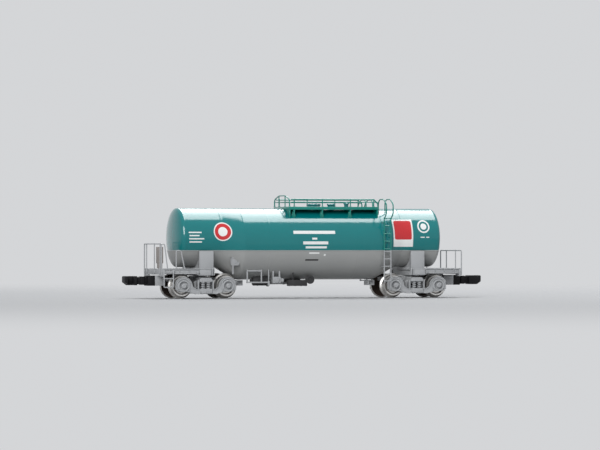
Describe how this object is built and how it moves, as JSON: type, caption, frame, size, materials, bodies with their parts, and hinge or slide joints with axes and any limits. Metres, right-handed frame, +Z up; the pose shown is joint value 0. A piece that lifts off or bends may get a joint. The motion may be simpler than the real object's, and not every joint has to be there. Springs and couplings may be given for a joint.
{
  "type": "model bogie railway tank car",
  "caption": "Small-scale model of a bogie railway tank car with a green and grey funnel-bellied tank, walkway, ladders, swivelling bogies and turning wheels.",
  "frame": {"origin": "On the floor under the wheel flanges, midway between the two bogie pivots on the car's centre line", "axes": "+X along the car towards the end with the plain low railing, +Y across it away from the side with the control valve, +Z up"},
  "size_m": [0.1016, 0.0238, 0.028],
  "materials": {
    "tank_green": "gloss",
    "tank_grey": "satin",
    "frame_grey": "satin",
    "coupler_black": "satin",
    "underfloor_dark": "matt",
    "wheel_metal": "turned",
    "axle_metal": "turned",
    "ballast_steel": "plain"
  },
  "bodies": {
    "car": {"air_reservoir": "frame_grey", "ballast_weight": "ballast_steel", "brake_cylinder": "underfloor_dark", "control_valve": "frame_grey", "discharge_valve": "underfloor_dark", "end_frame_front": "frame_grey", "end_frame_rear": "frame_grey", "guard_frame": "frame_grey", "handbrake_case": "frame_grey", "handrail_end": "tank_green", "handrail_far": "tank_green", "handrail_near": "tank_green", "kingpin_front": "coupler_black", "kingpin_rear": "coupler_black", "ladder_lower_far": "frame_grey", "ladder_lower_near": "frame_grey", "ladder_upper_far": "tank_green", "ladder_upper_near": "tank_green", "loading_valve": "tank_green", "manhole": "tank_green", "platform_rail_front": "frame_grey", "platform_rail_rear": "frame_grey", "safety_valve": "tank_green", "selector_panel": "frame_grey", "side_grab_front": "frame_grey", "side_grab_rear": "frame_grey", "steps_front": "frame_grey", "steps_rear": "frame_grey", "tank_lower_shell": "tank_grey", "tank_upper_shell": "tank_green", "walkway": "tank_green"},
    "bogie_front": {"bogie_frame_front": "frame_grey"},
    "coupler_front_arm": {"coupler_front": "coupler_black"},
    "wheelset_front_outer": {"axle_front_outer": "axle_metal", "wheel_front_outer_near": "wheel_metal", "wheel_front_outer_far": "wheel_metal"},
    "wheelset_front_inner": {"axle_front_inner": "axle_metal", "wheel_front_inner_near": "wheel_metal", "wheel_front_inner_far": "wheel_metal"},
    "bogie_rear": {"bogie_frame_rear": "frame_grey"},
    "coupler_rear_arm": {"coupler_rear": "coupler_black"},
    "wheelset_rear_outer": {"axle_rear_outer": "axle_metal", "wheel_rear_outer_near": "wheel_metal", "wheel_rear_outer_far": "wheel_metal"},
    "wheelset_rear_inner": {"axle_rear_inner": "axle_metal", "wheel_rear_inner_near": "wheel_metal", "wheel_rear_inner_far": "wheel_metal"}
  },
  "joints": [
    {"name": "bogie_front_swivel", "type": "hinge", "parent": "car", "child": "bogie_front", "pos_m": [-0.03, 0, 0.00605], "axis": [0, 0, 1], "range_deg": [-12, 12]},
    {"name": "axle_front_outer_roll", "type": "hinge", "parent": "bogie_front", "child": "wheelset_front_outer", "pos_m": [-0.0362, 0, 0.0034], "axis": [0, 1, 0], "continuous": true},
    {"name": "axle_front_inner_roll", "type": "hinge", "parent": "bogie_front", "child": "wheelset_front_inner", "pos_m": [-0.0238, 0, 0.0034], "axis": [0, 1, 0], "continuous": true},
    {"name": "coupler_front_swing", "type": "hinge", "parent": "bogie_front", "child": "coupler_front_arm", "pos_m": [-0.0423, 0, 0.00483], "axis": [0, 0, 1], "range_deg": [-12, 12], "stiffness_Nm_per_rad": 0.00002},
    {"name": "bogie_rear_swivel", "type": "hinge", "parent": "car", "child": "bogie_rear", "pos_m": [0.03, 0, 0.00605], "axis": [0, 0, 1], "range_deg": [-12, 12]},
    {"name": "axle_rear_outer_roll", "type": "hinge", "parent": "bogie_rear", "child": "wheelset_rear_outer", "pos_m": [0.0362, 0, 0.0034], "axis": [0, 1, 0], "continuous": true},
    {"name": "axle_rear_inner_roll", "type": "hinge", "parent": "bogie_rear", "child": "wheelset_rear_inner", "pos_m": [0.0238, 0, 0.0034], "axis": [0, 1, 0], "continuous": true},
    {"name": "coupler_rear_swing", "type": "hinge", "parent": "bogie_rear", "child": "coupler_rear_arm", "pos_m": [0.0423, 0, 0.00483], "axis": [0, 0, 1], "range_deg": [-12, 12], "stiffness_Nm_per_rad": 0.00002}
  ]
}
